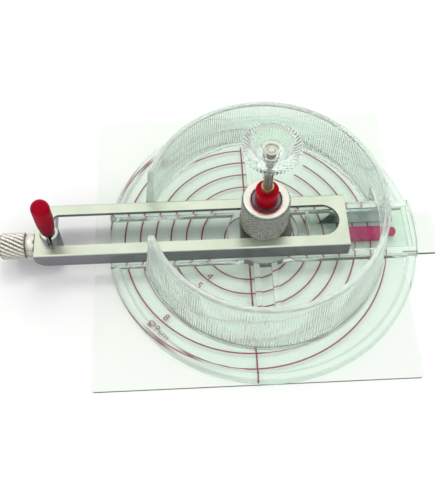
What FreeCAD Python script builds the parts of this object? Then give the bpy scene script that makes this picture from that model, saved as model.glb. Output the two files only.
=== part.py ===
"""Circle cutter standing on its circle template plate, as a parametric document in millimetres.

Origin: centre of the plate's underside. +Z is up, and +X runs along the arm, away from the blade.
Every level is measured from the plate's underside. The cutter turns about a vertical axis that
stands `axis_x` to the right of the plate's centre.
"""
import FreeCAD, Part
import Sketcher
import os
import re

doc = FreeCAD.newDocument("circle_template")
V = FreeCAD.Vector

DIMENSIONS = {
    # template plate
    "plate_side": 99.4, "plate_thick": 1.0, "plate_round": 1.0,
    "tab_reach": 62.0, "tab_width": 15.4,
    # turning base
    "axis_x": 4.8, "base_under": 1.1, "floor_top": 2.6, "disc_radius": 50.0,
    "rim_foot": 46.5, "rim_crest_in": 47.5, "rim_crest_out": 49.0, "rim_top": 3.5, "rim_edge": 2.3,
    "rail_inner": 7.5, "rail_outer": 10.0, "rail_top": 5.7, "rail_left": -47.0,
    "end_wall_x": 52.4, "hub_radius": 11.5, "rib_offset": 2.85, "rib_width": 1.9, "rib_reach": 36.3,
    "needle_hole": 1.7, "flange_seat": 4.2,
    # grip ring
    "ring_foot_radius": 39.6, "ring_top_radius": 37.4, "ring_top": 25.6,
    "ring_foot_bore": 37.0, "ring_top_bore": 35.6, "ring_gap_half": 11.2,
    "window_half": 10.4, "window_top": 12.6, "ring_round": 0.7,
    # centre post and clamp
    "post_radius": 4.37, "post_bore": 3.45, "post_top": 25.2, "post_floor": 8.0,
    "post_flange_radius": 6.5, "nut_radius": 7.5, "nut_bore": 4.45, "nut_bottom": 12.2,
    "nut_top": 25.7, "nut_bevel": 0.5, "washer_radius": 6.9,
    "guide_left": 7.4, "guide_right": 8.6, "guide_width": 11.0, "guide_round": 2.5,
    "guide_bottom": 5.75, "guide_top": 11.5,
    # needle, spring and knob
    "collar_radius": 3.45, "collar_bottom": 21.1, "collar_top": 30.7, "collar_round": 0.3,
    "sleeve_radius": 1.9, "sleeve_top": 32.4, "shaft_radius": 1.4, "shaft_bore": 1.45,
    "shaft_bottom": 9.0, "shaft_top": 50.1, "tip_level": 4.1, "tip_radius": 0.15, "tip_length": 3.0,
    "seat_radius": 3.0, "seat_bottom": 20.0, "seat_top": 21.0,
    "spring_radius": 2.35, "spring_wire": 0.3, "spring_pitch": 1.9,
    "spring_gap": 0.05, "spring_slack": 0.3,
    "knob_bottom": 40.2, "knob_neck": 2.1, "knob_radius": 8.4, "knob_skirt": 50.4,
    "knob_crest": 52.2, "knob_dish": 5.7, "knob_dish_depth": 2.2, "knob_round": 0.5,
    "dish_taper": 2.1, "rivet_radius": 1.7, "rivet_height": 0.7,
    # arm
    "arm_width": 18.8, "arm_left": -67.2, "arm_right": 31.3, "arm_foot": 5.8, "arm_top": 11.7,
    "arm_gauge": 1.0, "arm_corner": 4.0, "arm_bend": 0.8,
    "slot_left": -62.0, "slot_right": 28.8, "slot_width": 11.2, "slot_corner": 2.0,
    # blade end
    "holder_x": -61.9, "holder_y": -3.1, "holder_radius": 3.1, "holder_top": 16.2, "holder_dome": 1.3,
    "holder_left": -66.6, "holder_right": -61.2, "holder_width": 16.6, "holder_foot": 6.0,
    "slit_left": -62.5, "slit_width": 1.5, "slit_open": 12.0, "slit_gap": 0.15,
    "anvil_radius": 1.3, "screw_level": 8.2,
    "blade_thick": 0.5, "blade_width": 4.0, "blade_bottom": 6.0, "blade_top": 30.6,
    "blade_bevel": 5.0,
    "cap_x": -62.0, "cap_radius": 2.85, "cap_bore": 2.1, "cap_mouth": 17.9, "cap_dome": 29.6,
    "thumb_radius": 4.2, "thumb_left": -78.6, "thumb_right": -69.9, "thumb_neck": 3.7,
    "thumb_shank": 1.5, "thumb_bore": 1.55, "shoe_gap": 0.02, "shoe_length": 1.2,
    "thumb_chamfer": 0.9,
    # storage well in the base channel
    "well_left": 19.3, "well_wall": 1.2, "lid_bottom": 4.5, "lid_top": 5.5, "lid_gap": 0.05,
    "case_left": 31.5, "case_right": 48.2, "case_front": -3.7, "case_back": 1.3, "case_top": 4.2,
    "case_corner": 2.0, "case_round": 0.5, "case_body_end": 44.6,
    "nib_front": -2.2, "nib_back": 0.7, "nib_top": 3.7, "nib_round": 1.2,
    "spare_tip": 23.2, "spare_back": 7.4,
}

sheet = doc.addObject("Spreadsheet::Sheet", "dims")
for row, (alias, value) in enumerate(DIMENSIONS.items(), start=1):
    sheet.set(f"A{row}", alias)
    sheet.set(f"B{row}", str(value))
    sheet.setAlias(f"B{row}", alias)
doc.recompute()

PARTS = []


def dim(alias):
    """Value of a driving dimension."""
    return float(sheet.get(alias))


def expression(text):
    """Turn plain dimension names into references to the spreadsheet."""
    def reference(match):
        word = match.group(0)
        return f"dims.{word}" if word in DIMENSIONS else word
    return re.sub(r"[a-z][a-z_]*", reference, text)


def bind(obj, **properties):
    """Bind properties of an object to expressions of the driving dimensions."""
    for name, text in properties.items():
        obj.setExpression(name, expression(text))


def place(obj, x="0", y="0", z="0"):
    """Bind the three coordinates of an object's placement."""
    for axis, text in (("x", x), ("y", y), ("z", z)):
        obj.setExpression(f"Placement.Base.{axis}", expression(text))


def box(name, x0, x1, y0, y1, z0, z1):
    """Box between two levels on each axis, given as expressions."""
    obj = doc.addObject("Part::Box", name)
    bind(obj, Length=f"({x1}) - ({x0})", Width=f"({y1}) - ({y0})", Height=f"({z1}) - ({z0})")
    place(obj, x0, y0, z0)
    return obj


def cylinder(name, radius, z0, z1, x="axis_x", y="0"):
    """Upright cylinder between two levels."""
    obj = doc.addObject("Part::Cylinder", name)
    bind(obj, Radius=radius, Height=f"({z1}) - ({z0})")
    place(obj, x, y, z0)
    return obj


def cone(name, radius0, radius1, z0, z1, x="axis_x", y="0"):
    """Upright cone frustum between two levels."""
    obj = doc.addObject("Part::Cone", name)
    bind(obj, Radius1=radius0, Radius2=radius1, Height=f"({z1}) - ({z0})")
    place(obj, x, y, z0)
    return obj


def rod(name, radius, x0, x1, y, z):
    """Cylinder along X between two stations."""
    obj = doc.addObject("Part::Cylinder", name)
    obj.Placement.Rotation = FreeCAD.Rotation(V(0, 1, 0), 90)
    bind(obj, Radius=radius, Height=f"({x1}) - ({x0})")
    place(obj, x0, y, z)
    return obj


def fuse(name, *shapes):
    """Union of several objects."""
    obj = doc.addObject("Part::MultiFuse", name)
    obj.Shapes = list(shapes)
    obj.Refine = True
    return obj


def cut(name, base, *tools):
    """Base object less one or more tools."""
    tool = tools[0] if len(tools) == 1 else fuse(f"{name}_tools", *tools)
    obj = doc.addObject("Part::Cut", name)
    obj.Base = base
    obj.Tool = tool
    return obj


def common(name, *shapes):
    """Intersection of several objects."""
    obj = doc.addObject("Part::MultiCommon", name)
    obj.Shapes = list(shapes)
    return obj


def fillet(name, base, radius, chooser):
    """Round the edges of the base object that the chooser accepts."""
    doc.recompute()
    obj = doc.addObject("Part::Fillet", name)
    obj.Base = base
    chosen = [i for i, edge in enumerate(base.Shape.Edges, start=1) if chooser(edge)]
    obj.Edges = [(i, radius, radius) for i in chosen]
    return obj


def chamfer(name, base, size, chooser):
    """Bevel the edges of the base object that the chooser accepts."""
    doc.recompute()
    obj = doc.addObject("Part::Chamfer", name)
    obj.Base = base
    chosen = [i for i, edge in enumerate(base.Shape.Edges, start=1) if chooser(edge)]
    obj.Edges = [(i, size, size) for i in chosen]
    return obj


def part(obj, node):
    """Name a finished sub-part after its node."""
    obj.Label = node
    PARTS.append(obj)
    return obj


def at_level(z):
    """Chooser for circular edges that lie at one level."""
    def test(edge):
        flat = edge.BoundBox.ZLength < 1e-3 and abs(edge.BoundBox.ZMax - z) < 1e-3
        return flat and isinstance(edge.Curve, Part.Circle)
    return test


def origin_plane(body, role):
    """One of a body's own origin planes."""
    return next(o for o in body.Origin.OriginFeatures if o.Role == role)


def rectangle_sketch(body, name, role, left, right, low, high, offset="0"):
    """Rectangle on an origin plane, with its four sides bound to expressions."""
    sketch = body.newObject("Sketcher::SketchObject", name)
    sketch.AttachmentSupport = [(origin_plane(body, role), "")]
    sketch.MapMode = "FlatFace"
    sketch.setExpression("AttachmentOffset.Base.z", expression(offset))
    corners = [V(-1, -1, 0), V(1, -1, 0), V(1, 1, 0), V(-1, 1, 0)]
    for i in range(4):
        sketch.addGeometry(Part.LineSegment(corners[i], corners[(i + 1) % 4]), False)
    constraint = Sketcher.Constraint
    for i in range(4):
        sketch.addConstraint(constraint("Coincident", i, 2, (i + 1) % 4, 1))
    for i in (0, 2):
        sketch.addConstraint(constraint("Horizontal", i))
        sketch.addConstraint(constraint("Vertical", i + 1))
    sides = (("left", "DistanceX", 0, 1, left, -1), ("right", "DistanceX", 1, 2, right, 1),
             ("low", "DistanceY", 0, 1, low, -1), ("high", "DistanceY", 2, 1, high, 1))
    for label, kind, line, point, text, start in sides:
        index = sketch.addConstraint(constraint(kind, -1, 1, line, point, float(start)))
        sketch.renameConstraint(index, label)
        sketch.setExpression(f"Constraints.{label}", expression(text))
    return sketch


def pad(body, name, sketch, length):
    """Pad a sketch of a body upwards from its plane."""
    obj = body.newObject("PartDesign::Pad", name)
    obj.Profile = sketch
    bind(obj, Length=length)
    return obj


# ---------------------------------------------------------------- template plate
def template_plate():
    """Clear square sheet with one tab on the side away from the blade."""
    half = "plate_side / 2"
    body = doc.addObject("PartDesign::Body", "plate_body")
    square = rectangle_sketch(body, "plate_square", "XY_Plane",
                              f"-{half}", half, f"-{half}", half)
    pad(body, "plate_pad", square, "plate_thick")
    tab = rectangle_sketch(body, "plate_tab", "XY_Plane",
                           f"{half} - 1", "tab_reach", "-tab_width / 2", "tab_width / 2")
    pad(body, "tab_pad", tab, "plate_thick")

    def outer_corner(edge):
        upright = edge.BoundBox.ZLength > dim("plate_thick") - 1e-3
        point = edge.CenterOfMass
        at_square = abs(abs(point.x) - dim("plate_side") / 2) < 1e-3
        at_square = at_square and abs(abs(point.y) - dim("plate_side") / 2) < 1e-3
        at_tab = abs(point.x - dim("tab_reach")) < 1e-3
        return upright and (at_square or at_tab)

    part(fillet("plate_rounded", body, dim("plate_round"), outer_corner), "template_plate")


# ---------------------------------------------------------------- turning base
def base_disc():
    """Disc with a raised rim, two guide rails, an end wall, a hub and four stiffening ribs."""
    floor = cylinder("disc_floor", "disc_radius", "base_under", "floor_top")
    skirt = cylinder("rim_skirt", "disc_radius", "floor_top - 0.5", "rim_top")
    bowl = cone("rim_bowl", "rim_foot", "rim_crest_in", "floor_top - 0.01", "rim_top + 0.01")
    rim_ring = cut("rim_ring", skirt, bowl)
    outside = cone("rim_outside", "disc_radius", "rim_crest_out", "rim_edge", "rim_top")
    below_edge = cylinder("rim_below_edge", "disc_radius", "base_under", "rim_edge")
    envelope = fuse("rim_envelope", outside, below_edge)
    dish = common("base_dish", fuse("base_blank", floor, rim_ring), envelope)
    channel_mouth = box("channel_mouth", "axis_x - disc_radius - 1", "axis_x - hub_radius",
                        "-rail_inner", "rail_inner", "floor_top", "rim_top + 1")

    rails = []
    for side, y0, y1 in (("front", "-rail_outer", "-rail_inner"),
                         ("back", "rail_inner", "rail_outer")):
        rails.append(box(f"rail_{side}", "rail_left", "axis_x + disc_radius", y0, y1,
                         "floor_top - 0.5", "rail_top"))
    rails.append(box("rail_end_wall", "end_wall_x", "axis_x + disc_radius",
                     "-rail_outer", "rail_outer", "floor_top - 0.5", "rail_top"))
    for name, left, right in (("well_wall_left", "well_left", "well_left + well_wall"),
                              ("well_ledge_right", "end_wall_x - well_wall", "end_wall_x + 0.5")):
        rails.append(box(name, left, right, "-rail_inner - 0.5", "rail_inner + 0.5",
                         "floor_top - 0.5", "lid_bottom"))
    trim = cylinder("rail_trim", "disc_radius - 0.05", "base_under", "rail_top + 1")
    channel = common("base_channel", fuse("rail_blank", *rails), trim)

    hub = cylinder("base_hub", "hub_radius", "floor_top - 0.5", "rail_top")
    ribs = []
    for side in (-1, 1):
        centre = f"axis_x + {side} * rib_offset"
        for way, near, far in (("front", "-rib_reach", "-rail_inner"),
                               ("back", "rail_inner", "rib_reach")):
            ribs.append(box(f"rib_{'left' if side < 0 else 'right'}_{way}",
                            f"{centre} - rib_width / 2", f"{centre} + rib_width / 2",
                            near, far, "floor_top - 0.5", "rail_top - 0.6"))
    open_dish = cut("base_open_dish", dish, channel_mouth)
    solid = fuse("base_solid", open_dish, channel, hub, *ribs)
    flange_seat = cylinder("post_flange_seat", "post_flange_radius", "flange_seat", "rail_top + 1")
    needle_way = cylinder("needle_way", "needle_hole", "base_under - 1", "rail_top + 1")
    part(cut("base_disc_solid", solid, flange_seat, needle_way), "base_disc")


def grip_ring():
    """Tapered ring, open where the blade end of the arm leaves and notched over the arm's tail."""
    outer = cone("ring_outer", "ring_foot_radius", "ring_top_radius", "floor_top", "ring_top")
    bore = cone("ring_bore", "ring_foot_bore", "ring_top_bore", "floor_top", "ring_top")
    wall = cut("ring_wall", outer, bore)
    gap = box("ring_gap", "axis_x - 45", "axis_x", "-ring_gap_half", "ring_gap_half",
              "floor_top - 1", "ring_top + 1")
    window = box("ring_window", "axis_x", "axis_x + 45", "-window_half", "window_half",
                 "floor_top - 1", "window_top")
    shell = cut("ring_shell", wall, gap, window)

    def top_edge(edge):
        return edge.BoundBox.ZMin > dim("ring_top") - 1e-3 and isinstance(edge.Curve, Part.Circle)

    part(fillet("ring_rounded", shell, dim("ring_round"), top_edge), "grip_ring")


# ---------------------------------------------------------------- post, guide and clamp nut
def centre_post():
    """Hollow threaded post with a flange that sits in the hub."""
    flange = cylinder("post_flange", "post_flange_radius", "flange_seat", "rail_top")
    tube = cylinder("post_tube", "post_radius", "flange_seat", "post_top")
    bore = cylinder("post_bore_tool", "post_bore", "post_floor", "post_top + 1")
    way = cylinder("post_way_tool", "needle_hole", "flange_seat - 1", "post_floor + 1")
    part(cut("post_solid", fuse("post_blank", flange, tube), bore, way), "centre_post")


def guide_block():
    """Block that fills the arm's slot and keeps the arm straight, longer towards the tail."""
    bar = box("guide_bar", "axis_x - guide_left", "axis_x + guide_right",
              "-guide_width / 2", "guide_width / 2", "guide_bottom", "guide_top")
    rounded = fillet("guide_rounded", bar, dim("guide_round"),
                     lambda edge: edge.BoundBox.ZLength > 1)
    hole = cylinder("guide_hole", "post_radius", "guide_bottom - 1", "guide_top + 1")
    part(cut("guide_solid", rounded, hole), "guide_block")


def clamp():
    """Tall nut on the post and the washer that it presses on the arm."""
    washer = cylinder("washer_disc", "washer_radius", "arm_top", "nut_bottom")
    washer_hole = cylinder("washer_hole", "nut_bore", "arm_top - 1", "nut_bottom + 1")
    part(cut("washer_solid", washer, washer_hole), "nut_washer")

    body = cylinder("nut_body", "nut_radius", "nut_bottom", "nut_top")
    bevelled = chamfer("nut_bevelled", body, dim("nut_bevel"),
                       lambda edge: isinstance(edge.Curve, Part.Circle))
    bore = cylinder("nut_bore_tool", "nut_bore", "nut_bottom - 1", "nut_top + 1")
    part(cut("nut_solid", bevelled, bore), "clamp_nut")


# ---------------------------------------------------------------- needle, spring and knob
def needle_guide():
    """Plug in the top of the post and the sleeve that guides the shaft through it."""
    plug = cylinder("collar_plug", "collar_radius", "collar_bottom", "collar_top")
    plug_hole = cylinder("collar_hole", "sleeve_radius", "collar_bottom - 1", "collar_top + 1")
    soft_plug = fillet("collar_rounded", plug, dim("collar_round"), at_level(dim("collar_top")))
    part(cut("collar_solid", soft_plug, plug_hole), "needle_collar")

    tube = cylinder("sleeve_tube", "sleeve_radius", "collar_bottom", "sleeve_top")
    tube_hole = cylinder("sleeve_hole", "shaft_bore", "collar_bottom - 1", "sleeve_top + 1")
    part(cut("sleeve_solid", tube, tube_hole), "needle_sleeve")


def needle():
    """Straight shaft and the hardened point in its lower end."""
    part(cylinder("shaft_rod", "shaft_radius", "shaft_bottom", "shaft_top"), "needle_shaft")
    shank = cylinder("point_shank", "shaft_radius", "tip_level + tip_length", "shaft_bottom")
    taper = cone("point_taper", "tip_radius", "shaft_radius", "tip_level", "tip_level + tip_length")
    part(fuse("point_solid", shank, taper), "needle_point")


def return_spring():
    """Seat on the shaft and the coil spring that lifts it."""
    disc = cylinder("seat_disc", "seat_radius", "seat_bottom", "seat_top")
    hole = cylinder("seat_hole", "shaft_bore", "seat_bottom - 1", "seat_top + 1")
    part(cut("seat_solid", disc, hole), "spring_seat")

    helix = doc.addObject("Part::Helix", "spring_helix")
    room = "(seat_bottom - post_floor - 2 * spring_wire)"
    bind(helix, Radius="spring_radius", Pitch="spring_pitch", Height=f"{room} - spring_slack")
    place(helix, "axis_x", "0", "post_floor + spring_wire + spring_gap")
    wire = doc.addObject("Part::Circle", "spring_section")
    bind(wire, Radius="spring_wire")
    wire.Placement.Rotation = FreeCAD.Rotation(V(1, 0, 0), 90)
    place(wire, "axis_x + spring_radius", "0", "post_floor + spring_wire + spring_gap")
    doc.recompute()
    coil = doc.addObject("Part::Sweep", "spring_coil")
    coil.Sections = [wire]
    coil.Spine = (helix, [f"Edge{i + 1}" for i in range(len(helix.Shape.Edges))])
    coil.Solid = True
    coil.Frenet = True
    part(coil, "return_spring")


def press_knob():
    """Dished knob with a funnel underside, and the rivet that holds it on the shaft."""
    funnel = cone("knob_funnel", "knob_neck", "knob_radius", "knob_bottom", "knob_skirt")
    drum = cylinder("knob_drum", "knob_radius", "knob_skirt", "knob_crest")
    blank = fillet("knob_rounded", fuse("knob_blank", funnel, drum), dim("knob_round"),
                   at_level(dim("knob_crest")))
    dish_floor = "knob_crest - knob_dish_depth"
    dish = cone("knob_dish_tool", "knob_dish - dish_taper", "knob_dish", dish_floor, "knob_crest + 0.01")
    hole = cylinder("knob_hole", "shaft_radius", "knob_bottom - 1", "knob_crest + 1")
    part(cut("knob_solid", blank, dish, hole), "press_knob")

    head = cylinder("rivet_disc", "rivet_radius", dish_floor, f"{dish_floor} + rivet_height")
    shaft_end = cylinder("rivet_hole", "shaft_radius", f"{dish_floor} - 1", "shaft_top")
    part(cut("rivet_solid", head, shaft_end), "knob_rivet")


# ---------------------------------------------------------------- arm
def corner_tool(name):
    """Everything outside the round at the low outer corner of the arm's blade end."""
    block = box(f"{name}_block", "arm_left - 1", "arm_left + arm_corner", "-arm_width", "arm_width",
                "arm_foot - 1", "arm_foot + arm_corner")
    round_ = doc.addObject("Part::Cylinder", f"{name}_round")
    round_.Placement.Rotation = FreeCAD.Rotation(V(1, 0, 0), 90)
    bind(round_, Radius="arm_corner", Height="arm_width * 2")
    place(round_, "arm_left + arm_corner", "arm_width", "arm_foot + arm_corner")
    return cut(name, block, round_)


def arm_channel():
    """Folded channel: web on top, a flange down each side and a long slot."""
    body = doc.addObject("PartDesign::Body", "arm_body")
    outline = rectangle_sketch(body, "arm_outline", "XY_Plane", "arm_left", "arm_right",
                               "-arm_width / 2", "arm_width / 2", "arm_foot")
    pad(body, "arm_pad", outline, "arm_top - arm_foot")
    inner = "(arm_width / 2 - arm_gauge)"
    hollow = rectangle_sketch(body, "arm_hollow", "XY_Plane", "arm_left - 1", "arm_right + 1",
                              f"-{inner}", inner, "arm_foot")
    pocket = body.newObject("PartDesign::Pocket", "arm_pocket")
    pocket.Profile = hollow
    pocket.Reversed = True
    bind(pocket, Length="arm_top - arm_foot - arm_gauge")

    def bend(edge):
        bounds = edge.BoundBox
        at_side = abs(abs(bounds.YMin) - dim("arm_width") / 2) < 1e-3 and bounds.YLength < 1e-3
        return at_side and bounds.ZMin > dim("arm_top") - 1e-3

    bent = fillet("arm_bend_round", body, dim("arm_bend"), bend)

    run_end = "slot_right - slot_width / 2"
    straight = box("slot_straight", "slot_left", run_end, "-slot_width / 2", "slot_width / 2",
                   "arm_foot", "arm_top + 1")
    left_rounded = fillet("slot_left_round", straight, dim("slot_corner"),
                          lambda edge: edge.BoundBox.ZLength > 5
                          and edge.BoundBox.XMax < dim("slot_left") + 1e-3)
    round_end = cylinder("slot_round_end", "slot_width / 2", "arm_foot", "arm_top + 1", run_end)
    barrel_hole = cylinder("barrel_hole", "holder_radius", "arm_foot", "arm_top + 1",
                           "holder_x", "holder_y")
    part(cut("arm_solid", bent, left_rounded, round_end, barrel_hole, corner_tool("arm_nose")),
         "arm_channel")


def blade_holder():
    """Block under the web and the slit barrel that rises through it at the slot's end."""
    half = "holder_width / 2"
    block = box("holder_block", "holder_left", "holder_right", f"-{half}", half,
                "holder_foot", "arm_top - arm_gauge")
    barrel = cylinder("holder_barrel", "holder_radius", "holder_foot", "holder_top",
                      "holder_x", "holder_y")
    domed = fillet("holder_domed", barrel, dim("holder_dome"), at_level(dim("holder_top")))
    slit = box("holder_slit", "slit_left", "slit_left + slit_width", "holder_y - 4",
               "holder_y + 4", "slit_open", "holder_top + 1")
    reach = "(blade_width / 2 + slit_gap)"
    pocket = box("holder_pocket", "slit_left", "slit_left + slit_width", f"holder_y - {reach}",
                 f"holder_y + {reach}", "holder_foot - 1", "slit_open + 1")
    shoe_bore = rod("holder_shoe_bore", "thumb_bore", "holder_left - 1", "slit_left",
                    "holder_y", "screw_level")
    slotted = cut("holder_slotted", fuse("holder_blank", block, domed), slit, pocket, shoe_bore,
                  corner_tool("holder_nose"))
    anvil = rod("holder_anvil", "anvil_radius", "slit_left + blade_thick",
                "slit_left + slit_width + 0.5", "holder_y", "screw_level")
    part(fuse("holder_solid", slotted, anvil), "blade_holder")


def blade():
    """Flat blade stored with its point up, and the soft cap pushed over the point."""
    shank = box("blade_shank", "slit_left", "slit_left + blade_thick",
                "holder_y - blade_width / 2", "holder_y + blade_width / 2",
                "blade_bottom", "blade_top")
    corner = Part.makePolygon([V(0, 0, 0), V(0, dim("blade_width"), 0),
                               V(0, 0, -dim("blade_bevel")), V(0, 0, 0)])
    bevel = doc.addObject("Part::Feature", "blade_bevel_tool")
    bevel.Shape = Part.Face(corner).extrude(V(dim("blade_thick") + 2, 0, 0))
    place(bevel, "slit_left - 1", "holder_y - blade_width / 2", "blade_top")
    part(cut("blade_solid", shank, bevel), "blade")

    tube = cylinder("cap_tube", "cap_radius", "cap_mouth", "cap_dome", "cap_x", "holder_y")
    dome = doc.addObject("Part::Sphere", "cap_dome_ball")
    bind(dome, Radius="cap_radius")
    place(dome, "cap_x", "holder_y", "cap_dome")
    bore = cylinder("cap_bore_tool", "cap_bore", "cap_mouth - 1", "blade_top + 0.1",
                    "cap_x", "holder_y")
    part(cut("cap_solid", fuse("cap_blank", tube, dome), bore), "blade_cap")


def thumb_screw():
    """Knurled screw in the end wall and the shoe that it presses on the blade."""
    knob = rod("thumb_knob", "thumb_radius", "thumb_left", "thumb_right",
               "holder_y", "screw_level")
    bevelled = chamfer("thumb_bevelled", knob, dim("thumb_chamfer"),
                       lambda edge: isinstance(edge.Curve, Part.Circle))
    neck = rod("thumb_neck_rod", "thumb_neck", "thumb_right", "arm_left - 0.1",
               "holder_y", "screw_level")
    shank = rod("thumb_shank_rod", "thumb_shank", "arm_left - 0.1",
                "slit_left - shoe_length - shoe_gap", "holder_y", "screw_level")
    part(fuse("thumb_solid", bevelled, neck, shank), "thumb_screw")
    part(rod("shoe_rod", "thumb_shank", "slit_left - shoe_length", "slit_left",
             "holder_y", "screw_level"), "pressure_shoe")


# ---------------------------------------------------------------- storage well
def spare_pieces():
    """Red case and spare blade that lie in the well between the rails, under a clear lid."""
    case = box("case_box", "case_left", "case_body_end", "case_front", "case_back",
               "floor_top", "case_top")
    ended = fillet("case_ended", case, dim("case_corner"),
                   lambda edge: edge.BoundBox.ZLength > 1)
    rounded = fillet("case_rounded", ended, dim("case_round"),
                     lambda edge: edge.BoundBox.ZMin > dim("case_top") - 1e-3)
    nib = box("case_nib", "case_body_end - 1", "case_right", "nib_front", "nib_back",
              "floor_top", "nib_top")
    nib_end = fillet("case_nib_end", nib, dim("nib_round"),
                     lambda edge: edge.BoundBox.ZLength > 1
                     and edge.BoundBox.XMin > dim("case_right") - 1e-3)
    part(fuse("case_solid", rounded, nib_end), "spare_case")

    spare = box("spare_shank", "spare_tip", "spare_tip + blade_top - blade_bottom",
                "spare_back - blade_width", "spare_back", "floor_top", "floor_top + blade_thick")
    corner = Part.makePolygon([V(0, 0, 0), V(dim("blade_bevel"), 0, 0),
                               V(0, -dim("blade_width"), 0), V(0, 0, 0)])
    bevel = doc.addObject("Part::Feature", "spare_bevel_tool")
    bevel.Shape = Part.Face(corner).extrude(V(0, 0, dim("blade_thick") + 2))
    place(bevel, "spare_tip", "spare_back", "floor_top - 1")
    part(cut("spare_solid", spare, bevel), "spare_blade")

    part(box("lid_plate", "well_left", "end_wall_x - lid_gap", "-rail_inner + lid_gap",
             "rail_inner - lid_gap", "lid_bottom", "lid_top"), "storage_lid")


def check_and_export():
    """Stop on any failed object or bad shape, then write one file for each node."""
    doc.recompute()
    failed = [o.Name for o in doc.Objects if "Invalid" in o.State or "Error" in o.State]
    if failed:
        raise RuntimeError(f"failed objects: {failed}")
    for obj in PARTS:
        if obj.Shape.isNull() or not obj.Shape.isValid() or not obj.Shape.Solids:
            raise RuntimeError(f"bad shape: {obj.Label}")
    os.makedirs("parts", exist_ok=True)
    for obj in PARTS:
        obj.Shape.exportStep(f"parts/{obj.Label}.step")
        size = obj.Shape.BoundBox
        print(f"{obj.Label:18s} solids {len(obj.Shape.Solids)} volume {obj.Shape.Volume:9.1f} "
              f"x {size.XMin:7.2f} {size.XMax:7.2f} y {size.YMin:7.2f} {size.YMax:7.2f} "
              f"z {size.ZMin:6.2f} {size.ZMax:6.2f}")


template_plate()
base_disc()
grip_ring()
centre_post()
guide_block()
clamp()
needle_guide()
needle()
return_spring()
press_knob()
arm_channel()
blade_holder()
blade()
thumb_screw()
spare_pieces()
check_and_export()
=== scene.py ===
"""Looks of the circle cutter on its template plate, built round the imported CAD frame.

Shapes are made in millimetres and scaled to metres at the end. Levels and radii repeat the CAD's.
"""

import math

import bmesh
import bpy
from mathutils import Matrix, Vector, noise

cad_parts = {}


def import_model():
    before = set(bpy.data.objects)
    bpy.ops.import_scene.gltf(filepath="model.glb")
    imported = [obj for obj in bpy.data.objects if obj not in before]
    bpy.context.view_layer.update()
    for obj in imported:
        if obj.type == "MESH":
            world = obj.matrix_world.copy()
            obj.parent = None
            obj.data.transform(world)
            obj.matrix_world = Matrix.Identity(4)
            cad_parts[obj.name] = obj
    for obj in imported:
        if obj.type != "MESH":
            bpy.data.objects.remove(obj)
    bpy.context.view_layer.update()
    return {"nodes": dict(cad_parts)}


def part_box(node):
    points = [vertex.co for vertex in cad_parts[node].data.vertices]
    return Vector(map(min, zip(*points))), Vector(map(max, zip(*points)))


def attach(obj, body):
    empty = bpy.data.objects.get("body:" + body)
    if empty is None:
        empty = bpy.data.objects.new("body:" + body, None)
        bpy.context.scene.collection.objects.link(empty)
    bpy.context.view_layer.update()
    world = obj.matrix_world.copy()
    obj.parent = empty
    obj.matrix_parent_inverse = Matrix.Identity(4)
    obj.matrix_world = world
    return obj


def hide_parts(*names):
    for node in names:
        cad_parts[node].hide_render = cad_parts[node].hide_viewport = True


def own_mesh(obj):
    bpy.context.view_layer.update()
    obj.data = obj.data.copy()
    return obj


MM = 0.001
TURN = 2 * math.pi

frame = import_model()
NODES = frame["nodes"]


def middle_of(name):
    """Centre of a node's box, in millimetres."""
    low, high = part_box(name)
    return (low + high) / 2 / MM


AXIS = middle_of("clamp_nut")                 # the turning axis
AXIS.z = 0


def placed(name, data):
    """Object that holds the data, put in the scene."""
    obj = bpy.data.objects.new(name, data)
    bpy.context.scene.collection.objects.link(obj)
    return obj


# ---------------------------------------------------------------- camera, lights and stage
CAMERA_PLACE = (-16.78, -124.82, 223.23)      # millimetres
CAMERA_TILT = (28.837, -0.216, -2.798)        # degrees
CAMERA_LENS, CAMERA_SENSOR = 56.57, 36        # millimetres
CLIP_START, CLIP_END = 0.01, 20               # metres
SKY_LOW, SKY_MIDDLE, SKY_HIGH = (0.62, 0.66, 0.66), (0.86, 0.89, 0.88), (1, 1, 1)
SKY_TO_MIRRORS, SKY_TO_MATT = 1.05, 0.91      # strength
FLOOR_HALF, FLOOR_LEVEL = 3.0, -0.0004        # metres


def camera():
    data = bpy.data.cameras.new("camera")
    data.lens = CAMERA_LENS
    data.sensor_width = CAMERA_SENSOR
    data.clip_start, data.clip_end = CLIP_START, CLIP_END
    obj = placed("camera", data)
    obj.location = Vector(CAMERA_PLACE) * MM
    obj.rotation_euler = [math.radians(a) for a in CAMERA_TILT]
    bpy.context.scene.camera = obj


def area_light(name, place, target, size, power, colour=(1, 1, 1), mirrored=True):
    """Round lamp turned to its target; unless mirrored, metal and clear plastic don't show it."""
    data = bpy.data.lights.new(name, "AREA")
    data.shape = "DISK"
    data.size = size
    data.energy = power
    data.color = colour
    obj = placed(name, data)
    obj.location = place
    obj.rotation_euler = (Vector(target) - Vector(place)).to_track_quat("-Z", "Y").to_euler()
    obj.visible_glossy = mirrored
    obj.visible_transmission = mirrored


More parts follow.
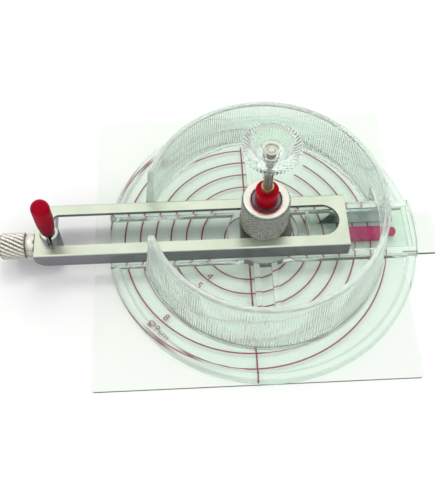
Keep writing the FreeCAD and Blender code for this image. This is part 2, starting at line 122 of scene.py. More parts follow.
def world():
    """Pale studio: brighter overhead, and brighter to mirrors and glass than to matt surfaces."""
    made = bpy.data.worlds.new("studio")
    bpy.context.scene.world = made
    made.use_nodes = True
    tree = made.node_tree
    tree.nodes.clear()
    out = tree.nodes.new("ShaderNodeOutputWorld")
    background = tree.nodes.new("ShaderNodeBackground")
    where = tree.nodes.new("ShaderNodeTexCoord")
    ramp = tree.nodes.new("ShaderNodeValToRGB")
    tree.links.new(upward(tree, where.outputs["Generated"]), ramp.inputs[0])
    stops = ramp.color_ramp.elements
    stops[0].position, stops[0].color = 0.0, (*SKY_LOW, 1)
    stops[1].position, stops[1].color = 0.75, (*SKY_HIGH, 1)
    stops.new(0.25).color = (*SKY_MIDDLE, 1)
    path = tree.nodes.new("ShaderNodeLightPath")
    strength = ranged(tree, path.outputs["Is Diffuse Ray"], 0, 1, SKY_TO_MIRRORS, SKY_TO_MATT)
    tree.links.new(ramp.outputs["Color"], background.inputs["Color"])
    tree.links.new(strength, background.inputs["Strength"])
    tree.links.new(background.outputs[0], out.inputs[0])


def stage_floor(material):
    mesh = bpy.data.meshes.new("floor")
    corners = [(x * FLOOR_HALF, y * FLOOR_HALF, FLOOR_LEVEL)
               for x, y in ((-1, -1), (1, -1), (1, 1), (-1, 1))]
    mesh.from_pydata(corners, [], [(0, 1, 2, 3)])
    mesh.materials.append(material)
    placed("floor", mesh)


# ---------------------------------------------------------------- shader tools
NOISE_SPAN = (0.3, 0.7)                       # where most of a noise texture's values lie


def new_material(name):
    material = bpy.data.materials.new(name)
    material.use_nodes = True
    tree = material.node_tree
    return material, tree, tree.nodes["Principled BSDF"]


def node(tree, kind, **inputs):
    made = tree.nodes.new(kind)
    for name, value in inputs.items():
        made.inputs[name.replace("_", " ")].default_value = value
    return made


def ranged(tree, value, start, end, low=0.0, high=1.0):
    """Value carried over from one range to another, and held at its ends."""
    made = node(tree, "ShaderNodeMapRange", From_Min=start, From_Max=end, To_Min=low, To_Max=high)
    tree.links.new(value, made.inputs["Value"])
    return made.outputs["Result"]


def between(tree, value, low, high):
    """Noise value stretched over a range."""
    return ranged(tree, value, *NOISE_SPAN, low, high)


def calculated(tree, operation, value, other=None):
    """Value worked out from one value and, if given, another value or a number."""
    made = tree.nodes.new("ShaderNodeMath")
    made.operation = operation
    tree.links.new(value, made.inputs[0])
    if isinstance(other, (int, float)):
        made.inputs[1].default_value = other
    elif other is not None:
        tree.links.new(other, made.inputs[1])
    return made.outputs[0]


def moved(tree, operation, vector, other):
    """Vector worked out from a vector and a fixed one."""
    made = tree.nodes.new("ShaderNodeVectorMath")
    made.operation = operation
    made.inputs[1].default_value = other
    tree.links.new(vector, made.inputs[0])
    return made.outputs[0]


def upward(tree, vector):
    """Upright part of a vector."""
    split = tree.nodes.new("ShaderNodeSeparateXYZ")
    tree.links.new(vector, split.inputs[0])
    return split.outputs["Z"]


def object_point(tree, stretch=(1, 1, 1)):
    """Place on the object in millimetres, stretched for grain that runs one way."""
    where = tree.nodes.new("ShaderNodeTexCoord")
    return moved(tree, "MULTIPLY", where.outputs["Object"], [s / MM for s in stretch])


def facing_up(tree):
    """1 on a level face that looks up, 0 on an upright one."""
    where = tree.nodes.new("ShaderNodeTexCoord")
    return upward(tree, where.outputs["Normal"])


def grain(tree, point, scale, detail):
    made = node(tree, "ShaderNodeTexNoise", Scale=scale, Detail=detail)
    tree.links.new(point, made.inputs["Vector"])
    return made.outputs["Fac"]


def blend(tree, share, first, second):
    """Colour from one to another as share grows; each is a plain colour or a socket."""
    made = tree.nodes.new("ShaderNodeMix")
    made.data_type = "RGBA"
    tree.links.new(share, made.inputs[0])
    for socket, colour in ((made.inputs[6], first), (made.inputs[7], second)):
        if isinstance(colour, tuple):
            socket.default_value = (*colour, 1)
        else:
            tree.links.new(colour, socket)
    return made.outputs[2]


def blend_shaders(tree, share, first, second):
    made = tree.nodes.new("ShaderNodeMixShader")
    for socket, source in zip(made.inputs, (share, first, second)):
        tree.links.new(source, socket)
    return made.outputs[0]


def bump(tree, shader, height, depth):
    made = node(tree, "ShaderNodeBump", Strength=1.0, Distance=depth * MM)
    tree.links.new(height, made.inputs["Height"])
    tree.links.new(made.outputs["Normal"], shader.inputs["Normal"])


# ---------------------------------------------------------------- materials
CLEAR_IOR = 1.49
DEEPEST = 11                                  # bounces after which trapped light is scattered
HAZE_LEVELS = (2.6, 4.5)                      # millimetres between which the haze grows
PALER, CLOUD = 1.015, 0.97                    # shares of the tint in pale patches and in haze
LAMP_TINT = 0.3                               # how strongly the lamps' light takes the tint
RIM_LEVEL = 3.8                               # the disc's rim, which takes painted shade on its slopes, lies below this, in millimetres
PATCH_SCALE, SCUFF_SCALE, SWELL_SCALE = 0.06, 0.35, 0.12
DRIFT_SCALE, GLOSS_SCALE, RELIEF_SCALE = 0.3, 1.7, 1.2
PAPER_SCALE, BRUSH_SCALE = 0.02, 1.0
COAT_ROUGHNESS = 0.08
SCATTER_REACH = (0.0012, 0.0003, 0.0003)      # metres, for red, green and blue
# Painted shade in the knurls' grooves.
GROOVE_SHADE = (0.10, 0.095, 0.085)
KNURL_MARGIN = 0.02                           # millimetres below the grooves that still take the painted groove shade


def shade_upright_faces(tree, colour, sides):
    """Colour on level faces, turning to a painted shade as a face stands up."""
    return blend(tree, ranged(tree, facing_up(tree), 0.55, 0.9), sides, colour)


def shade_rim_slopes(tree, colour, edges):
    """Colour on level faces, turning to a painted shade on the low rims' slopes and edges."""
    level = calculated(tree, "ABSOLUTE", facing_up(tree))
    tilted = ranged(tree, level, 0.97, 0.75)
    low = calculated(tree, "LESS_THAN", upward(tree, object_point(tree)), RIM_LEVEL)
    return blend(tree, calculated(tree, "MULTIPLY", tilted, low), colour, edges)


def shade_knurl_grooves(tree, colour, centre, across, inner, outer):
    """Colour with painted shade that darkens from a knurl's crests to its grooves, by the distance
    from its axis.
    """
    away = moved(tree, "SUBTRACT", object_point(tree), centre)
    flat = moved(tree, "MULTIPLY", away, across)
    length = tree.nodes.new("ShaderNodeVectorMath")
    length.operation = "LENGTH"
    tree.links.new(flat, length.inputs[0])
    distance = length.outputs["Value"]
    sunk = ranged(tree, distance, inner, outer, 1, 0)
    on_knurl = calculated(tree, "GREATER_THAN", distance, inner - KNURL_MARGIN)
    return blend(tree, calculated(tree, "MULTIPLY", sunk, on_knurl), colour, GROOVE_SHADE)


def clear_plastic(name, colour, roughness, waviness=0.0, haze=(0.0, 0.0), edges=None):
    """Clear moulding that bends light for the eye and lets the lamps through to what lies under it.

    haze is the cloudy share low down and in the tall walls; edges is the painted shade on the low
    rims' slopes.
    """
    material, tree, shader = new_material(name)
    point = object_point(tree)
    shader.inputs["Transmission Weight"].default_value = 1
    shader.inputs["IOR"].default_value = CLEAR_IOR
    pale = tuple(min(1, c * PALER) for c in colour)
    drift = blend(tree, between(tree, grain(tree, point, PATCH_SCALE, 2), 0, 1), colour, pale)
    # Painted shade on the low rims' slopes and edges.
    if edges:
        drift = shade_rim_slopes(tree, drift, edges)
    tree.links.new(drift, shader.inputs["Base Color"])
    scuffs = grain(tree, point, SCUFF_SCALE, 5)
    tree.links.new(between(tree, scuffs, roughness, roughness * 2.2), shader.inputs["Roughness"])
    if waviness:
        bump(tree, shader, grain(tree, point, SWELL_SCALE, 1), waviness)

    path = tree.nodes.new("ShaderNodeLightPath")
    trapped = calculated(tree, "GREATER_THAN", path.outputs["Ray Depth"], DEEPEST)
    cloudy = ranged(tree, upward(tree, point), *HAZE_LEVELS, *haze)
    cloud = node(tree, "ShaderNodeBsdfDiffuse", Color=(*[CLOUD * c for c in pale], 1))
    seen = blend_shaders(tree, calculated(tree, "MAXIMUM", trapped, cloudy),
                         shader.outputs[0], cloud.outputs[0])
    through = node(tree, "ShaderNodeBsdfTransparent",
                   Color=(*[c ** LAMP_TINT for c in colour], 1))
    unseen = calculated(tree, "MAXIMUM", path.outputs["Is Shadow Ray"],
                        path.outputs["Is Diffuse Ray"])
    tree.links.new(blend_shaders(tree, unseen, seen, through.outputs[0]),
                   tree.nodes["Material Output"].inputs["Surface"])
    return material


def metal(name, dark, light, rough, stretch=(1, 1, 1), depth=0.0, sides=None, grooves=None):
    """Metal whose colour, gloss and fine relief follow one grain, with painted shade on upright
    sides.

    grooves gives the knurl's centre, the directions across its axis, and its two radii, for painted
    shade in the grooves.
    """
    material, tree, shader = new_material(name)
    shader.inputs["Metallic"].default_value = 1
    lines = grain(tree, object_point(tree, stretch), BRUSH_SCALE, 6)
    broad = grain(tree, object_point(tree), SWELL_SCALE, 3)
    colour = blend(tree, between(tree, broad, 0, 1), dark, light)
    # Painted shade on upright faces.
    if sides:
        colour = shade_upright_faces(tree, colour, sides)
    # Painted shade in the knurl's grooves.
    if grooves:
        colour = shade_knurl_grooves(tree, colour, *grooves)
    tree.links.new(colour, shader.inputs["Base Color"])
    tree.links.new(between(tree, lines, *rough), shader.inputs["Roughness"])
    if depth:
        bump(tree, shader, lines, depth)
    return material


def plastic(name, dark, light, rough, mirror, coat=0.0, scatter=0.0, relief=0.0, lower_shade=None):
    """Opaque plastic with slight colour drift, gloss drift and moulded relief.

    deep, if given, is painted shade on the lower part: its colour and the levels between which it
    turns.
    """
    material, tree, shader = new_material(name)
    point = object_point(tree)
    drift = grain(tree, point, DRIFT_SCALE, 3)
    colour = blend(tree, between(tree, drift, 0, 1), dark, light)
    # The lower part takes painted shade.
    if lower_shade:
        shade, low, high = lower_shade
        colour = blend(tree, ranged(tree, upward(tree, point), low, high), shade, colour)
    tree.links.new(colour, shader.inputs["Base Color"])
    gloss = grain(tree, point, GLOSS_SCALE, 4)
    tree.links.new(between(tree, gloss, *rough), shader.inputs["Roughness"])
    shader.inputs["Specular IOR Level"].default_value = mirror
    shader.inputs["Coat Weight"].default_value = coat
    shader.inputs["Coat Roughness"].default_value = COAT_ROUGHNESS
    if scatter:
        shader.inputs["Subsurface Weight"].default_value = scatter
        shader.inputs["Subsurface Radius"].default_value = SCATTER_REACH
        shader.inputs["Subsurface Scale"].default_value = 1.0
    if relief:
        bump(tree, shader, grain(tree, point, RELIEF_SCALE, 3), relief)
    return material


def matt_floor():
    material, tree, shader = new_material("paper")
    clouds = between(tree, grain(tree, object_point(tree), PAPER_SCALE, 2), 0, 1)
    tree.links.new(blend(tree, clouds, (0.92, 0.92, 0.915), (0.935, 0.935, 0.93)),
                   shader.inputs["Base Color"])
    shader.inputs["Roughness"].default_value = 0.9
    shader.inputs["Specular IOR Level"].default_value = 0.1
    return material


# ---------------------------------------------------------------- mesh tools
def to_object(name, bm):
    """Object from a mesh made in millimetres."""
    bmesh.ops.recalc_face_normals(bm, faces=bm.faces)
    mesh = bpy.data.meshes.new(name)
    bm.to_mesh(mesh)
    bm.free()
    return placed(name, mesh)


def revolve(name, profile, steps, centre=None, radius_at=None):
    """Closed ring swept by a closed profile of (radius, level) round an upright axis.

    radius_at, if given, turns (radius, level, angle) into the radius that is used.
    """
    centre = centre or AXIS
    bm = bmesh.new()
    rings = []
    for step in range(steps):
        angle = TURN * step / steps
        ring = []
        for radius, level in profile:
            used = radius_at(radius, level, angle) if radius_at else radius
            ring.append(bm.verts.new((centre[0] + used * math.cos(angle),
                                      centre[1] + used * math.sin(angle), level)))
        rings.append(ring)
    count = len(profile)
    for step in range(steps):
        here, there = rings[step], rings[(step + 1) % steps]
        for i in range(count):
            j = (i + 1) % count
            bm.faces.new((here[i], there[i], there[j], here[j]))
    return to_object(name, bm)


def skin(bm, rings, closed=False):
    """Faces over a row of rings of points, joined end to end if closed and capped if not."""
    rows = [[bm.verts.new(point) for point in ring] for ring in rings]
    following = rows[1:] + rows[:1] if closed else rows[1:]
    for here, there in zip(rows, following):
        for j in range(len(here)):
            k = (j + 1) % len(here)
            bm.faces.new((here[j], here[k], there[k], there[j]))
    if not closed:
        bm.faces.new(rows[0][::-1])
        bm.faces.new(rows[-1])


def skinned(name, rings):
    """Solid over a row of rings of points."""
    bm = bmesh.new()
    skin(bm, rings)
    return to_object(name, bm)


def wire_ring(radius, level, wire, angle, sides):
    """Ring of points round a wire that circles the turning axis, at one angle of its way."""
    points = []
    for j in range(sides):
        b = TURN * j / sides
        r = radius + wire * math.cos(b)
        points.append((AXIS.x + r * math.cos(angle), AXIS.y + r * math.sin(angle),
                       level + wire * math.sin(b)))
    return points


def block(name, x, y, z, rounding=0.0):
    """Box over a range in each direction, with all its edges rounded."""
    bm = bmesh.new()
    bmesh.ops.create_cube(bm, size=1)
    for vert in bm.verts:
        vert.co = [(low + high) / 2 + share * (high - low)
                   for share, (low, high) in zip(vert.co, (x, y, z))]
    if rounding:
        bmesh.ops.bevel(bm, geom=bm.edges[:], offset=rounding, segments=3, affect="EDGES",
                        profile=0.5)
    return to_object(name, bm)


def mesh_as_seen(obj):
    """Mesh of an object as its modifiers or its text make it."""
    bpy.context.view_layer.update()
    graph = bpy.context.evaluated_depsgraph_get()
    return bpy.data.meshes.new_from_object(obj.evaluated_get(graph), depsgraph=graph)


def combine(target, tools, operation):
    """Boolean of the target with each tool in turn; the tools are used up."""
    for tool in tools:
        modifier = target.modifiers.new("boolean", "BOOLEAN")
        modifier.operation = operation
        modifier.solver = "MANIFOLD"
        modifier.object = tool
        mesh = mesh_as_seen(target)
        target.modifiers.clear()
        target.data = mesh
        bpy.data.objects.remove(tool)


def finish_piece(obj, name, material, body, *replaced, slot=None, angle=32):
    """Scale to metres, shade, name and hand the piece to its body."""
    obj.name = name
    obj.data.name = name
    obj.data.transform(Matrix.Scale(MM, 4))
    obj.data.materials.clear()
    obj.data.materials.append(material)
    obj.data.shade_smooth()
    obj.data.set_sharp_from_angle(angle=math.radians(angle))
    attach(obj, body)
    if replaced:
        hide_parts(*replaced)
    return obj


def dress(name, material):
    """Give a CAD node that stays in view its material."""
    obj = NODES[name]
    obj.data.materials.clear()
    obj.data.materials.append(material)


# ---------------------------------------------------------------- moulded base: disc and grip ring
DISC_RADIUS, DISC_STEPS = 50.0, 360
DISC_UNDER, DISC_TOP, RIM_TOP = 1.1, 2.6, 3.5
HUB_RADIUS, HUB_WELL, HUB_FLOOR, HUB_BORE = 11.5, 6.5, 4.2, 1.7
SUNK = 1.4                                    # level inside the disc, where upright parts begin
RAIL_IN, RAIL_OUT, RAIL_TOP = 7.5, 10, 5.7
RAIL_LEFT, RAIL_RIGHT = -47, 56
SHELF_TOP = 4.5                               # walls at both ends of the storage well
EDGE = 0.3
RIB_SIDE, RIB_HALF, RIB_TOP = 2.85, 0.95, 5.1
RIB_NEAR, RIB_FAR = 9, 36.3                   # reach of a rib out from the axis
RING_FOOT, RING_TOP = DISC_TOP, 25.6
RING_OUT = (39.6, 37.4)                       # outer radius at the foot and at the top
RING_IN = (37.0, 35.6)
RING_SUNK = 2.2
RING_ROUNDING = 0.75
RING_RIBS = 294
RIB_STEPS = 5                                 # angular steps to one fine rib
RIB_LOW, RIB_HIGH, RIB_ROWS = 3.7, 24.4, 12
RIB_DEPTH, FOOT_DEPTH = 0.08, 0.2             # near the top and near the foot
FOOT_LEVEL, FOOT_BLEND = 14.0, 8              # ribs deepen below this level, over this height
FOOT_ROUND = 0.9
GAP_HALF, WINDOW_HALF, WINDOW_LEVEL = 11.2, 10.4, 13.75
BEAD, BEAD_HALF, BEAD_STEPS, BEAD_SIDES = 1.15, 10.9, 60, 20


def cone_radius(pair, level):
    share = (level - RING_FOOT) / (RING_TOP - RING_FOOT)
    return pair[0] + (pair[1] - pair[0]) * share


def rib_share(angle, ribs):
    """0 in a groove and 1 on a rounded crest."""
    return abs(math.sin(angle * ribs / 2))


def ring_profile():
    """Outer side from the foot up, over the rounded top, and down the bore."""
    foot = [(0, RING_SUNK)] + [(math.radians(15 * i), None) for i in range(7)]
    points = []
    for a, level in foot:
        out = RING_OUT[0] + FOOT_ROUND * (1 - math.sin(a))
        points.append((out, level or RING_FOOT + FOOT_ROUND * (1 - math.cos(a))))
    levels = [RIB_LOW]
    levels += [RIB_LOW + (RIB_HIGH - RIB_LOW) * i / RIB_ROWS for i in range(1, RIB_ROWS + 1)]
    levels += [RIB_HIGH + 0.35]
    points += [(cone_radius(RING_OUT, z), z) for z in levels]
    for side, turn in ((RING_OUT, 0), (RING_IN, 90)):
        radius = cone_radius(side, RING_TOP)
        centre = radius - RING_ROUNDING if turn == 0 else radius + RING_ROUNDING
        for i in range(9):
            a = math.radians(turn + 90 * i / 8)
            points.append((centre + RING_ROUNDING * math.cos(a),
                           RING_TOP - RING_ROUNDING + RING_ROUNDING * math.sin(a)))
    points += [(cone_radius(RING_IN, z), z) for z in (18.0, 10.0, RING_SUNK)]
    return points


def ring_radius(radius, level, angle):
    """Fine ribs on the outer side only, deeper toward the foot."""
    middle = (cone_radius(RING_OUT, level) + cone_radius(RING_IN, level)) / 2
    if not RIB_LOW - 0.01 < level < RIB_HIGH + 0.01 or radius < middle:
        return radius
    near_foot = max(0.0, min(1.0, (FOOT_LEVEL - level) / FOOT_BLEND))
    depth = RIB_DEPTH + (FOOT_DEPTH - RIB_DEPTH) * near_foot
    return radius - depth * (1 - rib_share(angle, RING_RIBS))


def window_bead():
    """Rounded bead that follows the ring over the tail window."""
    middle = (cone_radius(RING_OUT, WINDOW_LEVEL) + cone_radius(RING_IN, WINDOW_LEVEL)) / 2
    half = math.asin(BEAD_HALF / middle)
    angles = [-half + 2 * half * i / BEAD_STEPS for i in range(BEAD_STEPS + 1)]
    return skinned("bead", [wire_ring(middle, WINDOW_LEVEL, BEAD, angle, BEAD_SIDES)
                            for angle in angles])


def moulded_base(material):
    """Disc, rails, hub, ribs, well walls and grip ring as the one clear moulding they are."""
    rim = [(49.7, DISC_UNDER), (DISC_RADIUS, 1.4), (DISC_RADIUS, 2.3), (49.25, 3.3),
           (48.9, RIM_TOP), (47.65, RIM_TOP), (47.4, 3.4), (46.6, 2.75), (46.2, DISC_TOP)]
    hub = [(12.0, DISC_TOP), (11.6, 2.75), (HUB_RADIUS, 3.0), (HUB_RADIUS, 5.45),
           (11.25, RAIL_TOP), (HUB_WELL, RAIL_TOP), (HUB_WELL, HUB_FLOOR), (HUB_BORE, HUB_FLOOR)]
    base = revolve("base", [(HUB_BORE, DISC_UNDER)] + rim + hub, DISC_STEPS)
    mouth = block("mouth", (AXIS.x - 51, AXIS.x - 11.4), (-RAIL_IN, RAIL_IN), (DISC_TOP, 8))
    combine(base, [mouth], "DIFFERENCE")

    along, tall, low = (RAIL_LEFT, RAIL_RIGHT), (SUNK, RAIL_TOP), (SUNK, SHELF_TOP)
    rails = block("rails", along, (-RAIL_OUT, -RAIL_IN), tall, EDGE)
    more = [block("rail_back", along, (RAIL_IN, RAIL_OUT), tall, EDGE),
            block("end_wall", (52.4, RAIL_RIGHT), (-9, 9), tall, EDGE),
            block("well_wall", (19.3, 20.5), (-8, 8), low, 0.1),
            block("well_ledge", (51.2, 53), (-8, 8), low, 0.1)]
    combine(rails, more, "UNION")
    reach = DISC_RADIUS - 0.05
    trim = revolve("trim", [(0.5, -1), (reach, -1), (reach, 9), (0.5, 9)], DISC_STEPS)
    combine(rails, [trim], "INTERSECT")
    combine(base, [rails], "UNION")

    ribs = []
    for side in (-1, 1):
        for y in ((-RIB_FAR, -RIB_NEAR), (RIB_NEAR, RIB_FAR)):
            x = AXIS.x + side * RIB_SIDE
            ribs.append(block("rib", (x - RIB_HALF, x + RIB_HALF), y, (SUNK, RIB_TOP), EDGE))
    combine(base, ribs, "UNION")

    ring = revolve("ring", ring_profile(), RING_RIBS * RIB_STEPS, radius_at=ring_radius)
    gap = block("gap", (AXIS.x - 45, AXIS.x), (-GAP_HALF, GAP_HALF), (1.6, 30))
    window = block("window", (AXIS.x, AXIS.x + 45), (-WINDOW_HALF, WINDOW_HALF),
                   (1.6, WINDOW_LEVEL))
    combine(ring, [gap, window], "DIFFERENCE")
    combine(ring, [window_bead()], "UNION")
    combine(base, [ring], "UNION")
    finish_piece(base, "moulded_base", material, "base", "base_disc", "grip_ring",
                 slot="base_clear", angle=8)


# ---------------------------------------------------------------- knob, rivet and spring
KNOB_RIBS, KNOB_RIB_STEPS = 52, 8
KNOB_RIB_DEPTH, KNOB_RIB_RADIUS = 0.12, 5.5
KNOB_FOOT = (2.1, 40.2)                       # radius and level
KNOB_SIDE, KNOB_SKIRT, KNOB_CREST = 8.4, 50.4, 52.2
KNOB_LEVELS = (42.0, 42.8, 43.6, 44.4, 45.2, 46.0, 47.0, 48.0, 49.0, 49.8, KNOB_SKIRT)
KNOB_BORE = (1.45, 45.2)                      # radius, and the level up to which it runs
KNOB_GRIP = (1.37, 45.4)                      # tight on the shaft above this, so the shaft shows
SPRING_WIRE, SPRING_PITCH, SPRING_STEPS, SPRING_SIDES = 0.3, 1.9, 40, 12


def funnel_radius(level):
    """Underside of the knob, up to its plain side."""
    share = (level - KNOB_FOOT[1]) / (KNOB_SKIRT - KNOB_FOOT[1])
    return min(KNOB_SIDE, KNOB_FOOT[0] + (KNOB_SIDE - KNOB_FOOT[0]) * share)


def knob_radius_at(radius, level, angle):
    """Fine ribs on the outer part, below the plain rim."""
    if radius < KNOB_RIB_RADIUS or level > KNOB_CREST - 1.0:
        return radius
    depth = KNOB_RIB_DEPTH * min(1.0, radius - KNOB_RIB_RADIUS)
    return radius - depth * (1 - rib_share(angle, KNOB_RIBS))


def clear_knob(material):
    """Dished knob with a plain rim and fine ribs on the upper part of its funnel-shaped side."""
    foot, low = KNOB_FOOT
    top, dish = KNOB_CREST, KNOB_CREST - 2.2
    profile = [(KNOB_BORE[0], low), (foot - 0.1, low), (foot, low + 0.1)]
    profile += [(funnel_radius(level), level) for level in KNOB_LEVELS]
    profile += [(KNOB_SIDE, top - 1.2), (KNOB_SIDE, top - 0.55), (KNOB_SIDE - 0.06, top - 0.3),
                (KNOB_SIDE - 0.22, top - 0.09), (KNOB_SIDE - 0.5, top), (6.0, top),
                (5.75, top - 0.08), (5.55, top - 0.3), (3.9, top - 2.0), (3.6, top - 2.15),
                (3.3, dish), (KNOB_GRIP[0], dish), KNOB_GRIP, KNOB_BORE]
    knob = revolve("knob", profile, KNOB_RIBS * KNOB_RIB_STEPS, radius_at=knob_radius_at)
    finish_piece(knob, "knob_moulding", material, "needle", "press_knob", slot="knob_clear",
                 angle=30)


def rivet_head(material):
    """Button-headed rivet on the end of the shaft, in the knob's dish."""
    low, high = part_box("knob_rivet")
    foot, top = low.z / MM, high.z / MM
    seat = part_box("needle_shaft")[1].z / MM + 0.02
    profile = [(0.05, seat), (1.42, seat), (1.42, foot), (1.7, foot), (1.7, foot + 0.08),
               (1.25, foot + 0.12), (0.75, top - 0.03), (0.65, top), (0.05, top)]
    finish_piece(revolve("rivet", profile, 48), "rivet_head", material, "needle", "knob_rivet",
                 slot="polished_steel")


def coil_spring(material):
    """Return spring coiled inside the post."""
    low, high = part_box("return_spring")
    radius = (high.y - low.y) / MM / 2 - SPRING_WIRE
    foot, top = low.z / MM + SPRING_WIRE, high.z / MM - SPRING_WIRE
    turns = (top - foot) / SPRING_PITCH
    rings = [wire_ring(radius, foot + SPRING_PITCH * i / SPRING_STEPS, SPRING_WIRE,
                       TURN * i / SPRING_STEPS, SPRING_SIDES)
             for i in range(int(turns * SPRING_STEPS) + 1)]
    spring = finish_piece(skinned("coil", rings), "coil_spring", material, "base",
                          "return_spring", slot="spring_steel")
    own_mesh(spring)


# ---------------------------------------------------------------- knurled nut and thumb screw
NUT_RADIUS, NUT_DEPTH, NUT_PITCH = 7.5, 0.36, 1.0
NUT_LOW, NUT_HIGH, NUT_BORE = 12.22, 25.7, 4.45
NUT_CUTS, NUT_STEPS, NUT_ROWS = 46, 8, 108    # grooves, angular steps to one, and rows of points
THUMB_RADIUS, THUMB_DEPTH, THUMB_PITCH = 4.2, 0.46, 2.6
THUMB_CUTS, THUMB_STEPS, THUMB_ROWS = 18, 9, 72
THUMB_RIGHT = -69.9                           # the knurled part's end toward its collar
COLLAR_RADIUS, COLLAR_RIGHT, SHANK_RADIUS = 3.7, -67.3, 1.5


def ridge(value):
    """Triangle wave: 1 on the ridges and 0 in the grooves between them."""
    return abs(2 * (value - math.floor(value)) - 1)


def knurl(turns, level, angle, pitch, share, bias):
    """Height of a diamond knurl cut by two opposed sets of grooves.

    share steepens the flanks, and bias makes the second set shallower.
    """
    round_part = angle / TURN * turns
    along = level / pitch
    lowest = min(ridge(round_part - along), ridge(round_part + along) + bias)
    return min(1.0, lowest * share)


def knurled_side(radius, depth, cuts, pitch, share, bias=0.0):
    """Rule that cuts the knurl into the widest part of a profile."""
    def knurled(r, level, angle):
        if r < radius - 0.01:
            return r
        return r - depth * (1 - knurl(cuts, level, angle, pitch, share, bias))
    return knurled


def straight_side(radius, first, last, rows):
    """Evenly spaced points of a profile from one level to another."""
    return [(radius, first + (last - first) * i / rows) for i in range(rows + 1)]


def knurled_nut(material):
    """Tall clamp nut with a fine diamond knurl between two plain bevels."""
    radius, low, high = NUT_RADIUS, NUT_LOW, NUT_HIGH
    profile = [(NUT_BORE, low), (radius - 0.6, low), (radius - 0.34, low + 0.4)]
    profile += straight_side(radius, low + 0.65, high - 0.9, NUT_ROWS)
    profile += [(radius - 0.34, high - 0.62), (radius - 0.42, high - 0.5),
                (radius - 0.5, high - 0.16), (radius - 0.7, high), (4.8, high),
                (NUT_BORE, high - 0.35)]
    nut = revolve("nut", profile, NUT_CUTS * NUT_STEPS,
                  radius_at=knurled_side(radius, NUT_DEPTH, NUT_CUTS, NUT_PITCH, 1.35))
    finish_piece(nut, "nut_knurled", material, "clamp", "clamp_nut", slot="nickel_knurled",
                 angle=50)


def thumb_knurled(material):
    """Thumb screw with a coarse slanted knurl, a plain collar and its shank."""
    low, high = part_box("thumb_screw")
    left, right = low.x / MM, high.x / MM
    centre = middle_of("thumb_screw")
    radius, end = THUMB_RADIUS, THUMB_RIGHT
    profile = [(0.05, left + 0.15), (2.6, left + 0.02), (3.3, left + 0.1),
               (radius - 0.45, left + 0.5)]
    profile += straight_side(radius, left + 1.0, end - 0.8, THUMB_ROWS)
    profile += [(radius - 0.45, end - 0.25), (3.35, end), (3.35, end + 0.25), (3.6, end + 0.4),
                (COLLAR_RADIUS, end + 0.5), (COLLAR_RADIUS, COLLAR_RIGHT - 0.2),
                (3.5, COLLAR_RIGHT), (SHANK_RADIUS, COLLAR_RIGHT), (SHANK_RADIUS, right),
                (0.05, right)]
    knurled = knurled_side(radius, THUMB_DEPTH, THUMB_CUTS, THUMB_PITCH, 1.5, 0.35)
    screw = revolve("screw", profile, THUMB_CUTS * THUMB_STEPS, centre=(0, 0), radius_at=knurled)
    laid = Matrix(((0, 0, 1, 0), (0, 1, 0, centre.y), (-1, 0, 0, centre.z), (0, 0, 0, 1)))
    screw.data.transform(laid)
    finish_piece(screw, "thumb_knurled", material, "screw", "thumb_screw",
                 slot="nickel_knurled", angle=50)


# ---------------------------------------------------------------- cap on the blade
CAP_STEPS = 64
CAP_PINCH, CAP_MOUTH = 0.24, 7.0              # flattening at the mouth, and how far up it reaches
CAP_ROWS, CAP_WOBBLE = 14, 0.015


def soft_cap(material):
    """Dip-moulded cap: round and domed at the top, pressed flat where it grips the blade."""
    low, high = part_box("blade_cap")
    low, high = low / MM, high / MM
    centre = (low + high) / 2
    radius = (high.y - low.y) / 2
    dome = high.z - radius
    inner = [(0.62, low.z + 9.0), (0.74, low.z + 5.0), (0.76, low.z + 0.5), (0.8, low.z + 0.12)]
    lip = [(0.88, low.z), (0.96, low.z + 0.05)]
    side = straight_side(1.0, low.z, dome, CAP_ROWS)
    top = [(math.cos(math.radians(a)), dome + radius * math.sin(math.radians(a)))
           for a in (9, 18, 27, 36, 45, 54, 63, 72, 81, 87)]

    def place(share, level, angle):
        mouth = max(0.0, 1 - (level - low.z) / CAP_MOUTH)
        squeeze = 1 - CAP_PINCH * mouth ** 2.5
        drift = noise.noise(Vector((math.cos(angle), math.sin(angle), level * 0.3)))
        wobble = min(1 + CAP_WOBBLE * drift, 1.0)
        r = radius * share * wobble
        return (centre.x + r * squeeze * math.cos(angle),
                centre.y + r * math.sin(angle), level)

    rings = [[place(share, level, TURN * j / CAP_STEPS) for j in range(CAP_STEPS)]
             for share, level in inner + lip + side + top]
    finish_piece(skinned("cap", rings), "soft_cap", material, "cap", "blade_cap",
                 slot="red_vinyl", angle=60)


# ---------------------------------------------------------------- printing on the plate
PRINT_LEVEL, PRINT_THICK = 1.0, 0.03
POINT_STEP = 0.6                              # between the points of an arc
CIRCLE_WIDTH, FINE_WIDTH, LINE_WIDTH = 0.5, 0.4, 0.55
CIRCLES = (7.5, 15, 20, 25, 30, 35, 40, 45)   # radii
RESTART = {20: 68, 25: 65, 30: 54, 35: 53}    # degrees at which a broken circle begins
BREAK_PAST = 1.4                              # how far it runs past the centre line at its end
LINE_PARTS = ((-49.4, -9.0), (6.0, 36.6))
FIGURES = (("4", 18.7, 3.5, -134), ("5", 23.2, 3.2, -135), ("6", 28.2, 3.2, -135),
           ("7", 33.2, 3.2, -135), ("8", 38.2, 3.2, -135),
           ("Ø9cm", 43.0, 3.4, -133.6))       # text, radius, size and bearing in degrees
FIGURE_TURN = -45                             # degrees
BOLDER = 0.025                                # thickening of the single figures from 5 to 8


def flat_band(bm, points, width, closed):
    """Strip of ink along a line of points, raised by its thickness."""
    count = len(points)
    up = Vector((0, 0, PRINT_THICK))
    rings = []
    for i, point in enumerate(points):
        before = points[i - 1] if closed or i else point
        after = points[(i + 1) % count] if closed or i < count - 1 else point
        along = (after - before).normalized()
        side = Vector((-along.y, along.x, 0)) * width / 2
        rings.append([point + side, point - side, point - side + up, point + side + up])
    skin(bm, rings, closed)


